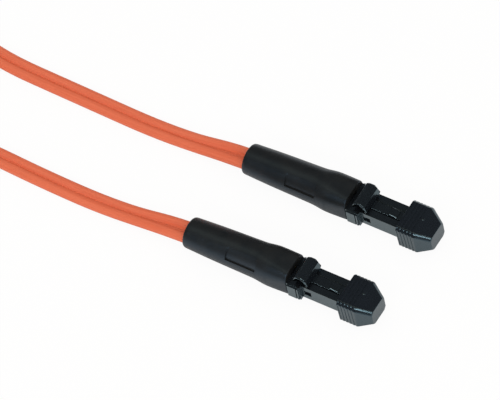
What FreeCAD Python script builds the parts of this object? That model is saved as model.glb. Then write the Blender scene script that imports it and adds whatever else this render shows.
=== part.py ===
import FreeCAD, Part
import math
import os
import re

import Sketcher

# Duplex fibre patch cord: two small latched plugs on one flat two-lobe cord.
# Both plugs lie side by side on the floor (z = 0) and point along +X, end_a on the far side (+Y).
# The origin is the middle of the two plugs' floor area; each plug is drawn about its own datum,
# which is the back face of its collar, with X running forward to the dust cap.

# Driving sizes in millimetres, with panel_low and panel_span in degrees: name, value.
SIZES = {
    # How the two plugs lie
    "pair_spacing": 27.8,
    "pair_stagger": 2.3,
    "axis_drop": 0.65,
    # Ferrule and what pushes it
    "ferrule_width": 4.4,
    "ferrule_height": 2.45,
    "ferrule_length": 8.0,
    "ferrule_reach": 0.6,
    "shoulder_width": 5.1,
    "shoulder_height": 2.75,
    "shoulder_length": 2.0,
    "slide_gap": 0.12,
    "stop_gap": 0.05,
    "guide_bore": 0.7,
    "guide_pitch": 2.6,
    "fibre_bore": 0.26,
    "fibre_pitch": 0.75,
    "glue_length": 2.2,
    "glue_width": 1.6,
    "glue_depth": 0.7,
    "glue_back": 3.2,
    "ribbon_width": 1.05,
    "ribbon_thick": 0.35,
    "ribbon_play": 0.15,
    "ribbon_depth": 1.6,
    "keeper_inset": 0.1,
    "keeper_thick": 1.0,
    "spring_length": 4.6,
    "spring_gap": 0.2,
    "spring_wire": 0.3,
    "spring_turns": 3.5,
    # Plug housing
    "cavity_play": 0.15,
    "side_wall": 1.05,
    "floor_wall": 0.62,
    "channel_floor": 0.4,
    "nose_bevel": 0.35,
    "window_gap": 0.65,
    "window_length": 2.2,
    "window_height": 1.8,
    # Latch lever
    "arm_width": 2.8,
    "arm_thick": 0.55,
    "arm_proud": 0.2,
    "arm_play": 0.15,
    "press_gap": 0.52,
    "hinge_back": 2.0,
    "hinge_seat": 0.05,
    "hinge_reach": 1.0,
    "catch_gap": 1.7,
    "catch_length": 2.75,
    "catch_inset": 0.3,
    "catch_height": 0.5,
    "thumb_width": 7.7,
    "thumb_foot": 2.15,
    "thumb_rise": 3.63,
    "thumb_length": 4.7,
    "thumb_lean": 0.7,
    "thumb_bevel": 0.5,
    "thumb_bevel_drop": 0.8,
    "thumb_crown": 1.15,
    "thumb_brow": 1.1,
    "thumb_brow_drop": 0.65,
    "thumb_drop": 1.85,
    "thumb_plate": 0.8,
    "thumb_clear": 0.65,
    "thumb_edge": 0.3,
    # Rear body
    "collar_width": 10.4,
    "collar_height": 5.4,
    "collar_length": 4.2,
    "collar_corner": 0.45,
    "grip_depth": 0.5,
    "grip_back": 0.45,
    "grip_front": 0.35,
    "grip_rib": 0.45,
    "grip_width": 0.3,
    "insert_length": 4.4,
    "insert_play": 0.05,
    "lug_inset": 0.45,
    "lug_play": 0.15,
    "lug_height": 0.8,
    "barrel_outer": 4.6,
    "barrel_spare": 0.7,
    "fibre_way": 2.0,
    # Aramid yarn and crimp sleeve
    "yarn_thick": 0.25,
    "yarn_sides": 16,
    "wrap_play": 0.05,
    "crimp_sides": 6,
    "crimp_wall": 0.5,
    "crimp_length": 6.0,
    "crimp_setback": 0.8,
    "crimp_rim": 0.3,
    "crimp_rise": 0.225,
    "crimp_rim_length": 0.8,
    # Boot
    "boot_length": 33.6,
    "boot_wall": 1.85,
    "flare_back": 6.4,
    "tail_step": 0.9,
    "mouth_step": 0.05,
    "boot_trim": 0.9,
    "side_flat": 0.5,
    "top_flat": 0.5,
    "pocket_play": 0.15,
    "pocket_margin": 0.8,
    "cord_play": 0.3,
    "cord_sag": 0.6,
    "panel_back": 9.8,
    "panel_length": 9.6,
    "panel_depth": 0.35,
    "panel_low": 17.8,
    "panel_span": 47.0,
    # Dust cap
    "cap_play": 0.15,
    "cap_roof_play": 0.58,
    "cap_wall": 1.3,
    "cap_floor": 1.1,
    "cap_roof": 1.325,
    "cap_cover": 5.4,
    "cap_nose": 4.0,
    "cap_bevel": 1.0,
    "cap_end_gap": 0.3,
    "tip_width": 6.3,
    "tip_height": 4.7,
    "tip_play": 0.3,
    "tip_depth": 2.2,
    "rib_count": 5,
    "rib_pitch": 1.05,
    "rib_groove": 0.45,
    "rib_depth": 0.15,
    "rib_first": 0.5,
    "rib_last": 0.75,
    "gate_diameter": 1.1,
    "gate_sides": 10,
    "gate_height": 0.15,
    # Cord, its coil and the tie
    "jacket": 2.8,
    "web_thick": 1.0,
    "coil_x": -152.0,
    "coil_y": -5.0,
    "coil_outer": 72.8,
    "coil_inner": 45.2,
    "coil_height": 6.0,
    "coil_sides": 40,
    "tie_width": 6.0,
    "tie_thick": 0.5,
    "tie_play": 0.15,
    "tie_slack": 0.4,
}

# Parts that fit round each other behind the collar, from the barrel outwards to the boot
BARREL_LENGTH = "(crimp_setback + crimp_length + barrel_spare)"
YARN_INNER = "(barrel_outer + 2 * wrap_play)"
YARN_OUTER = f"({YARN_INNER} + 2 * yarn_thick)"
CRIMP_INNER = f"({YARN_OUTER} + 2 * wrap_play)"
CRIMP_OUTER = f"({CRIMP_INNER} + 2 * crimp_wall)"
CRIMP_CORNERS = f"({CRIMP_OUTER} + 2 * crimp_rise)"
CRIMP_RIM = f"({CRIMP_OUTER} + 2 * crimp_rim)"
POCKET = f"({CRIMP_RIM} + 2 * pocket_play)"
BOOT_FLARE = f"({POCKET} + 2 * boot_wall)"
BOOT_TAIL = f"({BOOT_FLARE} - 2 * tail_step)"

# Heights through a plug: it lies on its boot, so its axis is a little below the middle of the flare
AXIS = f"({BOOT_FLARE} / 2 - axis_drop)"
CAVITY_WIDTH = "(shoulder_width + 2 * cavity_play)"
CAVITY_HEIGHT = "(shoulder_height + 2 * cavity_play)"
CHANNEL_DEPTH = "(arm_thick - arm_proud + press_gap)"
NOSE_WIDTH = f"({CAVITY_WIDTH} + 2 * side_wall)"
NOSE_BOTTOM = f"({AXIS} - {CAVITY_HEIGHT} / 2 - floor_wall)"
NOSE_TOP = f"({AXIS} + {CAVITY_HEIGHT} / 2 + channel_floor + {CHANNEL_DEPTH})"
NOSE_HEIGHT = f"({NOSE_TOP} - {NOSE_BOTTOM})"
NOSE_MIDDLE = f"({NOSE_BOTTOM} + {NOSE_HEIGHT} / 2)"
ARM_TOP = f"({NOSE_TOP} + arm_proud)"
ARM_BOTTOM = f"({ARM_TOP} - arm_thick)"
HINGE_Z = f"({ARM_TOP} - arm_thick / 2)"
CROWN = f"({ARM_TOP} + thumb_rise)"
CAP_WIDTH = f"({NOSE_WIDTH} + 2 * cap_play + 2 * cap_wall)"
CAP_BOTTOM = f"({NOSE_BOTTOM} - cap_play - cap_floor)"
CAP_TOP = f"({ARM_TOP} + cap_roof_play + cap_roof)"
CAP_HEIGHT = f"({CAP_TOP} - {CAP_BOTTOM})"
CAP_MIDDLE = f"({CAP_BOTTOM} + {CAP_HEIGHT} / 2)"

# Stations along a plug, measured from its datum
INSERT_FRONT = "(collar_length + insert_length)"
KEEPER_BACK = f"({INSERT_FRONT} + spring_length)"
FERRULE_BACK = f"({KEEPER_BACK} + keeper_thick)"
SHOULDER_STOP = f"({FERRULE_BACK} + shoulder_length + stop_gap)"
NOSE_FRONT = f"({FERRULE_BACK} + ferrule_length - ferrule_reach)"
WINDOW_BACK = "(collar_length + window_gap)"
HINGE_X = f"({NOSE_FRONT} - hinge_back)"
FOOT_X = "(collar_length + thumb_foot)"
CAP_BACK = f"({NOSE_FRONT} - cap_cover)"
CAP_SHOULDER = f"({CAP_BACK} + rib_first + (rib_count - 1) * rib_pitch + rib_groove + rib_last)"
CAP_TIP = f"({CAP_SHOULDER} + cap_nose)"
CATCH_FRONT = f"({CAP_BACK} - catch_gap)"

# Each plug's datum, so that the origin is the middle of both plugs
END_A_X = f"(boot_length + pair_stagger - {CAP_TIP}) / 2"
ENDS = {
    "a": (END_A_X, "pair_spacing / 2"),
    "b": (f"{END_A_X} - pair_stagger", "-pair_spacing / 2"),
}

# Inside of the tie, which clears the coil by its play and, on the ring's curved inner side, by a slack
TIE_BACK = "(coil_x - coil_outer / 2 - tie_play)"
TIE_SPAN = "((coil_outer - coil_inner) / 2 + tie_play + tie_slack)"

# Route of the cord outside its coil, from the end of each barrel to the coil
LEADS = {
    "a": [
        (-2.6, 13.9, 4.8),
        (-27.1, 13.9, 4.8),
        (-52.3, 13.3, 1.45),
        (-108.0, 14.6, 1.5),
        (-137.8, 26.8, 2.8),
    ],
    "b": [
        (-4.9, -13.9, 4.8),
        (-29.4, -13.9, 4.8),
        (-54.6, -14.5, 1.45),
        (-100.0, -14.6, 2.0),
        (-117.2, -19.1, 7.6),
        (-135.0, -24.9, 7.6),
        (-151.6, -29.2, 4.6),
    ],
}

doc = FreeCAD.newDocument("PatchCord")
sheet = doc.addObject("Spreadsheet::Sheet", "Sizes")
for row, (name, value) in enumerate(SIZES.items(), start=1):
    sheet.set(f"A{row}", name)
    sheet.set(f"B{row}", str(value))
    sheet.setAlias(f"B{row}", name)
doc.recompute()

nodes = []


def sized(text):
    """The same expression with each size's name pointing at its cell in the sheet."""
    return re.sub(r"[a-z][a-z_]+", lambda word: f"Sizes.{word[0]}" if word[0] in SIZES else word[0], text)


def number(text):
    """Present value of an expression, in millimetres."""
    return float(sheet.evalExpression(sized(text)))


def new_body(piece, end):
    """Body of one sub-part, placed at the datum of its plug."""
    made = doc.addObject("PartDesign::Body", f"{piece}_{end}")
    made.Label = f"{piece}_{end}"
    made.setExpression("Placement.Base.x", sized(ENDS[end][0]))
    made.setExpression("Placement.Base.y", sized(ENDS[end][1]))
    nodes.append(made)
    return made


def new_sketch(body, plane, offset="0"):
    """Empty sketch on one of the body's own planes, moved along the plane's normal."""
    made = body.newObject("Sketcher::SketchObject", "Sketch")
    support = [item for item in body.Origin.OriginFeatures if item.Role == plane][0]
    made.AttachmentSupport = [(support, "")]
    made.MapMode = "FlatFace"
    made.setExpression("AttachmentOffset.Base.z", sized(offset))
    return made


def place(sketch, shape, point, across, up):
    """Hold one point of a sketch's line, arc or circle at a place bound to the sheet."""
    for kind, text in (("DistanceX", across), ("DistanceY", up)):
        held = sketch.addConstraint(Sketcher.Constraint(kind, -1, 1, shape, point, number(text)))
        sketch.setExpression(f"Constraints[{held}]", sized(text))


def outline(sketch, points, arcs=None):
    """Closed outline through the points, counter-clockwise; arcs names a point on each round run."""
    arcs = arcs or {}
    corners = [FreeCAD.Vector(number(across), number(up), 0) for across, up in points]
    first = sketch.GeometryCount
    for index, start in enumerate(corners):
        finish = corners[(index + 1) % len(corners)]
        if index in arcs:
            through = FreeCAD.Vector(*[number(text) for text in arcs[index]], 0)
            sketch.addGeometry(Part.Arc(start, through, finish))
        else:
            sketch.addGeometry(Part.LineSegment(start, finish))
    for index, (across, up) in enumerate(points):
        after = (index + 1) % len(points)
        sketch.addConstraint(Sketcher.Constraint("Coincident", first + index, 2, first + after, 1))
        place(sketch, first + index, 1, across, up)
    for index, (across, up) in arcs.items():
        spot = sketch.addGeometry(Part.Point(FreeCAD.Vector(number(across), number(up), 0)), True)
        place(sketch, spot, 1, across, up)
        sketch.addConstraint(Sketcher.Constraint("PointOnObject", spot, 1, first + index))


def rectangle(sketch, width, height, across="0", up="0", corner=None, bevelled=False):
    """Rectangle about a middle point, with round or bevelled corners where their size is given."""
    right, left = f"({across} + ({width}) / 2)", f"({across} - ({width}) / 2)"
    top, bottom = f"({up} + ({height}) / 2)", f"({up} - ({height}) / 2)"
    if corner is None:
        outline(sketch, [(left, bottom), (right, bottom), (right, top), (left, top)])
        return
    near_left, near_right = f"({left} + {corner})", f"({right} - {corner})"
    near_bottom, near_top = f"({bottom} + {corner})", f"({top} - {corner})"
    points = [
        (near_left, bottom), (near_right, bottom),
        (right, near_bottom), (right, near_top),
        (near_right, top), (near_left, top),
        (left, near_top), (left, near_bottom),
    ]
    if bevelled:
        outline(sketch, points)
        return
    bulge = f"({corner}) * sqrt(0.5)"
    arcs = {
        1: (f"{near_right} + {bulge}", f"{near_bottom} - {bulge}"),
        3: (f"{near_right} + {bulge}", f"{near_top} + {bulge}"),
        5: (f"{near_left} - {bulge}", f"{near_top} + {bulge}"),
        7: (f"{near_left} - {bulge}", f"{near_bottom} - {bulge}"),
    }
    outline(sketch, points, arcs)


def circle(sketch, diameter, across, up):
    """Circle about a middle point."""
    middle = FreeCAD.Vector(number(across), number(up), 0)
    index = sketch.addGeometry(Part.Circle(middle, FreeCAD.Vector(0, 0, 1), number(diameter) / 2))
    place(sketch, index, 3, across, up)
    held = sketch.addConstraint(Sketcher.Constraint("Diameter", index, number(diameter)))
    sketch.setExpression(f"Constraints[{held}]", sized(diameter))


def polygon(sketch, sides, diameter, across, up):
    """Regular polygon about a middle point; the diameter is across its corners, and the sides are counted in whole."""
    corners = []
    for index in range(SIZES[sides]):
        turn = f"({index} * 360 / {sides})"
        corners.append((f"{across} + ({diameter}) / 2 * cos({turn})", f"{up} + ({diameter}) / 2 * sin({turn})"))
    outline(sketch, corners)


def pad(body, sketch, length):
    """Solid from a sketch along its normal."""
    made = body.newObject("PartDesign::Pad", "Pad")
    made.Profile = sketch
    made.setExpression("Length", sized(length))
    doc.recompute()
    return made


def cut(body, sketch, length):
    """Material taken away along a sketch's normal; stops if the cut misses the solid."""
    before = body.Shape.Volume
    made = body.newObject("PartDesign::Pocket", "Pocket")
    made.Profile = sketch
    made.Reversed = True
    made.setExpression("Length", sized(length))
    doc.recompute()
    if not body.Shape.Volume < before - 1e-6:
        raise RuntimeError(f"a cut in {body.Label} takes nothing away")
    return made


def dress(body, kind, size, chosen):
    """Fillet or chamfer on the edges of the body's tip that a test picks out."""
    base = body.Tip
    edges = [f"Edge{index}" for index, edge in enumerate(base.Shape.Edges, start=1) if chosen(edge)]
    if not edges:
        raise RuntimeError(f"no edge to dress on {body.Label}")
    made = body.newObject(f"PartDesign::{kind}", kind)
    made.Base = (base, edges)
    made.setExpression("Radius" if kind == "Fillet" else "Size", sized(size))
    doc.recompute()


def at_station(edge, text, tolerance=1e-4):
    """Whether an edge lies wholly at one station along X."""
    box, station = edge.BoundBox, number(text)
    return abs(box.XMin - station) < tolerance and abs(box.XMax - station) < tolerance


def plug_housing(end):
    """Rectangular nose: ferrule passage, cavity open at the back, snap windows and latch channel."""
    body = new_body("plug_housing", end)
    sketch = new_sketch(body, "YZ_Plane", "collar_length")
    rectangle(sketch, NOSE_WIDTH, NOSE_HEIGHT, up=NOSE_MIDDLE)
    pad(body, sketch, f"{NOSE_FRONT} - collar_length")
    dress(body, "Chamfer", "nose_bevel", lambda edge: at_station(edge, NOSE_FRONT))

    sketch = new_sketch(body, "YZ_Plane", "collar_length")
    rectangle(sketch, CAVITY_WIDTH, CAVITY_HEIGHT, up=AXIS)
    cut(body, sketch, f"{SHOULDER_STOP} - collar_length")

    sketch = new_sketch(body, "YZ_Plane", SHOULDER_STOP)
    rectangle(sketch, "ferrule_width + 2 * slide_gap", "ferrule_height + 2 * slide_gap", up=AXIS)
    cut(body, sketch, "2 * ferrule_length")

    sketch = new_sketch(body, "XZ_Plane", f"-{NOSE_WIDTH}")
    rectangle(sketch, "window_length", "window_height", f"{WINDOW_BACK} + window_length / 2", NOSE_MIDDLE)
    cut(body, sketch, f"2 * {NOSE_WIDTH}")

    # The lever's channel is deep under the arm and shallow where the root of the arm sits
    deep_end = f"({HINGE_X} - hinge_reach)"
    deep = new_sketch(body, "XY_Plane", f"{NOSE_TOP} - {CHANNEL_DEPTH}")
    middle = f"(collar_length + {deep_end}) / 2"
    rectangle(deep, f"{deep_end} - collar_length", "arm_width + 2 * arm_play", across=middle)
    cut(body, deep, f"2 * {CHANNEL_DEPTH}")

    root_end = f"({HINGE_X} + arm_thick / 2 + hinge_seat)"
    shallow = new_sketch(body, "XY_Plane", f"{ARM_BOTTOM} - hinge_seat")
    middle = f"({deep_end} + {root_end}) / 2"
    rectangle(shallow, f"{root_end} - {deep_end}", "arm_width + 2 * arm_play", across=middle)
    cut(body, shallow, f"2 * {CHANNEL_DEPTH}")


def latch_lever(end):
    """Springy arm hinged near the nose's front, with a catch and a raised thumb pad over the collar."""
    body = new_body("latch_lever", end)
    sketch = new_sketch(body, "XZ_Plane", "-arm_width / 2")
    arm = [(f"{FOOT_X} - thumb_plate", ARM_BOTTOM), (HINGE_X, ARM_BOTTOM),
           (HINGE_X, ARM_TOP), (f"{FOOT_X} - thumb_plate", ARM_TOP)]
    outline(sketch, arm, {1: (f"{HINGE_X} + arm_thick / 2", HINGE_Z)})
    pad(body, sketch, "arm_width")

    # The thumb plate climbs from the arm, bends over to its crown and falls to the boot in two slopes
    front = f"({FOOT_X} - thumb_lean)"
    bevel_back = f"({front} - thumb_bevel)"
    crown_back = f"({bevel_back} - thumb_crown)"
    rear = f"({FOOT_X} - thumb_length)"
    brow = f"({rear} + thumb_brow)"
    inset = "thumb_plate / 3"
    sketch = new_sketch(body, "XZ_Plane", "-thumb_width / 2")
    plate = [
        (f"{FOOT_X} - thumb_plate", ARM_BOTTOM),
        (FOOT_X, ARM_BOTTOM),
        (FOOT_X, f"{ARM_TOP} + thumb_clear"),
        (front, f"{CROWN} - thumb_bevel_drop"),
        (bevel_back, CROWN),
        (crown_back, CROWN),
        (brow, f"{CROWN} - thumb_brow_drop"),
        (rear, f"{CROWN} - thumb_drop"),
        (f"{rear} + {inset}", f"{CROWN} - thumb_drop - thumb_plate"),
        (f"{brow} + {inset}", f"{CROWN} - thumb_brow_drop - thumb_plate"),
        (f"{crown_back} + {inset}", f"{CROWN} - thumb_plate"),
        (f"{bevel_back} - {inset}", f"{CROWN} - thumb_plate"),
        (f"{front} - thumb_plate", f"{CROWN} - thumb_bevel_drop - {inset}"),
        (f"{FOOT_X} - thumb_plate", f"{ARM_TOP} + thumb_clear - {inset}"),
    ]
    outline(sketch, plate)
    pad(body, sketch, "thumb_width")

    # Below the plate only the arm's own width goes down to the housing
    sketch = new_sketch(body, "YZ_Plane", rear)
    side = "(thumb_width - arm_width) / 2"
    foot = "(thumb_clear + arm_thick)"
    for across in (f"(arm_width + {side}) / 2", f"-(arm_width + {side}) / 2"):
        rectangle(sketch, side, f"2 * {foot}", across, ARM_BOTTOM)
    cut(body, sketch, "2 * thumb_length")
    outer_bends = (front, bevel_back, crown_back, brow)
    dress(body, "Fillet", "thumb_edge", lambda edge: any(at_station(edge, bend) for bend in outer_bends))

    catch_width = "(arm_width - 2 * catch_inset)"
    sketch = new_sketch(body, "XZ_Plane", f"-{catch_width} / 2")
    back = f"({CATCH_FRONT} - catch_length)"
    ridge = f"({ARM_TOP} + catch_height)"
    outline(sketch, [(back, HINGE_Z), (CATCH_FRONT, HINGE_Z), (CATCH_FRONT, ARM_TOP), (back, ridge)])
    pad(body, sketch, catch_width)


def ferrule(end):
    """Two-fibre ferrule: shoulder at the back, guide bores, fibre bores, glue window and ribbon opening."""
    body = new_body("ferrule", end)
    sketch = new_sketch(body, "YZ_Plane", FERRULE_BACK)
    rectangle(sketch, "ferrule_width", "ferrule_height", up=AXIS)
    pad(body, sketch, "ferrule_length")
    sketch = new_sketch(body, "YZ_Plane", FERRULE_BACK)
    rectangle(sketch, "shoulder_width", "shoulder_height", up=AXIS)
    pad(body, sketch, "shoulder_length")

    sketch = new_sketch(body, "YZ_Plane", FERRULE_BACK)
    for side in ("-", ""):
        circle(sketch, "guide_bore", f"{side}guide_pitch / 2", AXIS)
        circle(sketch, "fibre_bore", f"{side}fibre_pitch / 2", AXIS)
    cut(body, sketch, "2 * ferrule_length")

    sketch = new_sketch(body, "YZ_Plane", FERRULE_BACK)
    rectangle(sketch, "ribbon_width + 2 * ribbon_play", "ribbon_thick + 2 * ribbon_play", up=AXIS)
    cut(body, sketch, "ribbon_depth")

    sketch = new_sketch(body, "XY_Plane", f"{AXIS} + ferrule_height / 2 - glue_depth")
    rectangle(sketch, "glue_length", "glue_width", across=f"{FERRULE_BACK} + glue_back + glue_length / 2")
    cut(body, sketch, "2 * glue_depth")


def pin_keeper(end):
    """Flat plate behind the ferrule that takes the spring's push."""
    body = new_body("pin_keeper", end)
    sketch = new_sketch(body, "YZ_Plane", KEEPER_BACK)
    rectangle(sketch, "shoulder_width - 2 * keeper_inset", "shoulder_height - 2 * keeper_inset", up=AXIS)
    rectangle(sketch, "ribbon_width + 2 * ribbon_play", "ribbon_thick + 2 * ribbon_play", up=AXIS)
    pad(body, sketch, "keeper_thick")


def ferrule_spring(end):
    """Coil spring between the rear body's insert and the keeper plate."""
    body = new_body("ferrule_spring", end)
    sketch = new_sketch(body, "XZ_Plane")
    sketch.setExpression("AttachmentOffset.Base.y", sized(AXIS))
    wire = f"({INSERT_FRONT} + spring_wire / 2)"
    radius = f"({CAVITY_HEIGHT} / 2 - spring_gap - spring_wire / 2)"
    outline(sketch, [(wire, f"{radius} - spring_wire / 2"), (f"{wire} + spring_wire / 2", radius),
                     (wire, f"{radius} + spring_wire / 2"), (f"{wire} - spring_wire / 2", radius)])
    helix = body.newObject("PartDesign::AdditiveHelix", "Helix")
    helix.Profile = sketch
    helix.ReferenceAxis = (sketch, ["H_Axis"])
    helix.Mode = "height-turns-angle"
    helix.setExpression("Height", sized("spring_length - spring_wire"))
    helix.setExpression("Turns", sized("spring_turns"))
    doc.recompute()


def rear_body(end):
    """Collar with finger grooves, insert that snaps into the housing and barrel for the crimp."""
    body = new_body("rear_body", end)
    sketch = new_sketch(body, "YZ_Plane")
    rectangle(sketch, "collar_width", "collar_height", up=NOSE_MIDDLE, corner="collar_corner", bevelled=True)
    pad(body, sketch, "collar_length")

    # Upright grooves in each side: a step behind, a step in front and a groove behind the front rib
    sketch = new_sketch(body, "XY_Plane")
    groove = "collar_length - grip_front - grip_rib - grip_width / 2"
    steps = {"0": "2 * grip_back", groove: "grip_width", "collar_length": "2 * grip_front"}
    for along, width in steps.items():
        for side in ("", "-"):
            rectangle(sketch, width, "2 * grip_depth", along, f"{side}collar_width / 2")
    cut(body, sketch, f"2 * {NOSE_TOP}")

    sketch = new_sketch(body, "YZ_Plane", "collar_length")
    insert_width = f"({CAVITY_WIDTH} - 2 * insert_play)"
    rectangle(sketch, insert_width, f"{CAVITY_HEIGHT} - 2 * insert_play", up=AXIS)
    pad(body, sketch, "insert_length")

    # A ramped lug on each side springs out into the housing's window
    sketch = new_sketch(body, "XY_Plane", f"{NOSE_MIDDLE} - window_height / 2 + lug_play")
    lug_back = f"({WINDOW_BACK} + lug_play)"
    lug_front = f"({WINDOW_BACK} + window_length - lug_play)"
    root = f"({insert_width} / 2 - lug_play)"
    crest = f"({NOSE_WIDTH} / 2 - lug_inset)"
    outline(sketch, [(lug_back, root), (lug_front, root), (lug_back, crest)])
    outline(sketch, [(lug_back, f"-{root}"), (lug_back, f"-{crest}"), (lug_front, f"-{root}")])
    pad(body, sketch, "lug_height")

    sketch = new_sketch(body, "YZ_Plane", f"-{BARREL_LENGTH}")
    circle(sketch, "barrel_outer", "0", AXIS)
    pad(body, sketch, BARREL_LENGTH)
    sketch = new_sketch(body, "YZ_Plane", f"-{BARREL_LENGTH}")
    circle(sketch, "fibre_way", "0", AXIS)
    cut(body, sketch, f"{BARREL_LENGTH} + 2 * {INSERT_FRONT}")


def aramid_yarn(end):
    """Strength yarn laid back over the barrel in a layer of flat strands under the crimp sleeve."""
    body = new_body("aramid_yarn", end)
    sketch = new_sketch(body, "YZ_Plane", "-crimp_setback - crimp_length")
    polygon(sketch, "yarn_sides", YARN_OUTER, "0", AXIS)
    polygon(sketch, "yarn_sides", f"{YARN_INNER} / cos(180 / yarn_sides)", "0", AXIS)
    pad(body, sketch, "crimp_length")


def crimp_sleeve(end):
    """Metal sleeve pressed six-sided round the yarn on the barrel, with a round rim at its front."""
    body = new_body("crimp_sleeve", end)
    sketch = new_sketch(body, "YZ_Plane", "-crimp_setback - crimp_length")
    polygon(sketch, "crimp_sides", CRIMP_CORNERS, "0", AXIS)
    circle(sketch, CRIMP_INNER, "0", AXIS)
    pad(body, sketch, "crimp_length")
    sketch = new_sketch(body, "YZ_Plane", "-crimp_setback - crimp_rim_length")
    circle(sketch, CRIMP_RIM, "0", AXIS)
    circle(sketch, CRIMP_INNER, "0", AXIS)
    pad(body, sketch, "crimp_rim_length")


def fibre_ribbon(end):
    """The two coated fibres side by side, from the cord's end into the ferrule."""
    body = new_body("fibre_ribbon", end)
    sketch = new_sketch(body, "YZ_Plane", f"-{BARREL_LENGTH}")
    rectangle(sketch, "ribbon_width", "ribbon_thick", up=AXIS)
    pad(body, sketch, f"{BARREL_LENGTH} + {FERRULE_BACK} + ribbon_depth - ribbon_play")


def strain_relief_boot(end):
    """Long soft boot: turned about a line that leaves its underside level, with flats towards the collar."""
    body = new_body("strain_relief_boot", end)
    rise = "(tail_step / (boot_length - flare_back))"
    sketch = new_sketch(body, "XZ_Plane")
    sketch.setExpression("AttachmentOffset.Base.y", sized(f"{BOOT_FLARE} / 2 + flare_back * {rise}"))
    sketch.setExpression("AttachmentOffset.Rotation.Angle", sized(f"atan({rise})"))
    profile = [
        ("-boot_length", "0"),
        ("boot_trim", "0"),
        ("boot_trim", f"{BOOT_FLARE} / 2 - mouth_step"),
        ("-flare_back", f"{BOOT_FLARE} / 2"),
        ("-boot_length", f"{BOOT_TAIL} / 2"),
    ]
    outline(sketch, profile)
    turned = body.newObject("PartDesign::Revolution", "Revolution")
    turned.Profile = sketch
    turned.ReferenceAxis = (sketch, ["H_Axis"])
    turned.Angle = 360
    doc.recompute()

    # The front ends square against the collar, and flats run into it from the flare
    sketch = new_sketch(body, "YZ_Plane")
    rectangle(sketch, f"2 * {BOOT_FLARE}", f"4 * {BOOT_FLARE}")
    cut(body, sketch, BOOT_FLARE)
    side = [("-flare_back", f"{BOOT_FLARE} / 2"), ("0", f"({BOOT_FLARE} / 2 - side_flat)"),
            ("0", BOOT_FLARE), ("-flare_back", BOOT_FLARE)]
    sketch = new_sketch(body, "XY_Plane", f"-{BOOT_FLARE}")
    outline(sketch, side)
    outline(sketch, [(along, f"-{across}") for along, across in reversed(side)])
    cut(body, sketch, f"4 * {BOOT_FLARE}")
    sketch = new_sketch(body, "XZ_Plane", f"-{BOOT_FLARE}")
    outline(sketch, [("-flare_back", BOOT_FLARE), ("0", f"{BOOT_FLARE} - top_flat"),
                     ("0", f"2 * {BOOT_FLARE}"), ("-flare_back", f"2 * {BOOT_FLARE}")])
    cut(body, sketch, f"2 * {BOOT_FLARE}")

    pocket_back = f"({BARREL_LENGTH} + pocket_margin)"
    sketch = new_sketch(body, "YZ_Plane", f"-{pocket_back}")
    circle(sketch, POCKET, "0", AXIS)
    cut(body, sketch, f"2 * {pocket_back}")

    # The flat bore leaves room below the cord, which sags towards the tail
    sketch = new_sketch(body, "YZ_Plane", "-2 * boot_length")
    rectangle(sketch, "2 * jacket + 2 * cord_play", "jacket + 2 * cord_play + cord_sag",
              up=f"{AXIS} - cord_sag / 2", corner="jacket / 2")
    cut(body, sketch, f"2 * boot_length - {BARREL_LENGTH}")

    # The panel is sunk into the near side, from panel_low upwards, and three flats are its floor
    middle = f"({BOOT_FLARE} / 2 - {rise} * (panel_back + panel_length / 2 - flare_back))"
    floor = f"({middle} - panel_depth)"
    sketch = new_sketch(body, "YZ_Plane", "-panel_back - panel_length")
    corners = []
    for radius, thirds in ((BOOT_FLARE, 3), (BOOT_FLARE, 0), (floor, 0), (floor, 1), (floor, 2), (floor, 3)):
        turn = f"(panel_low + {thirds} / 3 * panel_span)"
        corners.append((f"-{radius} * cos({turn})", f"{middle} + {radius} * sin({turn})"))
    outline(sketch, corners)
    cut(body, sketch, "panel_length")


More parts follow.
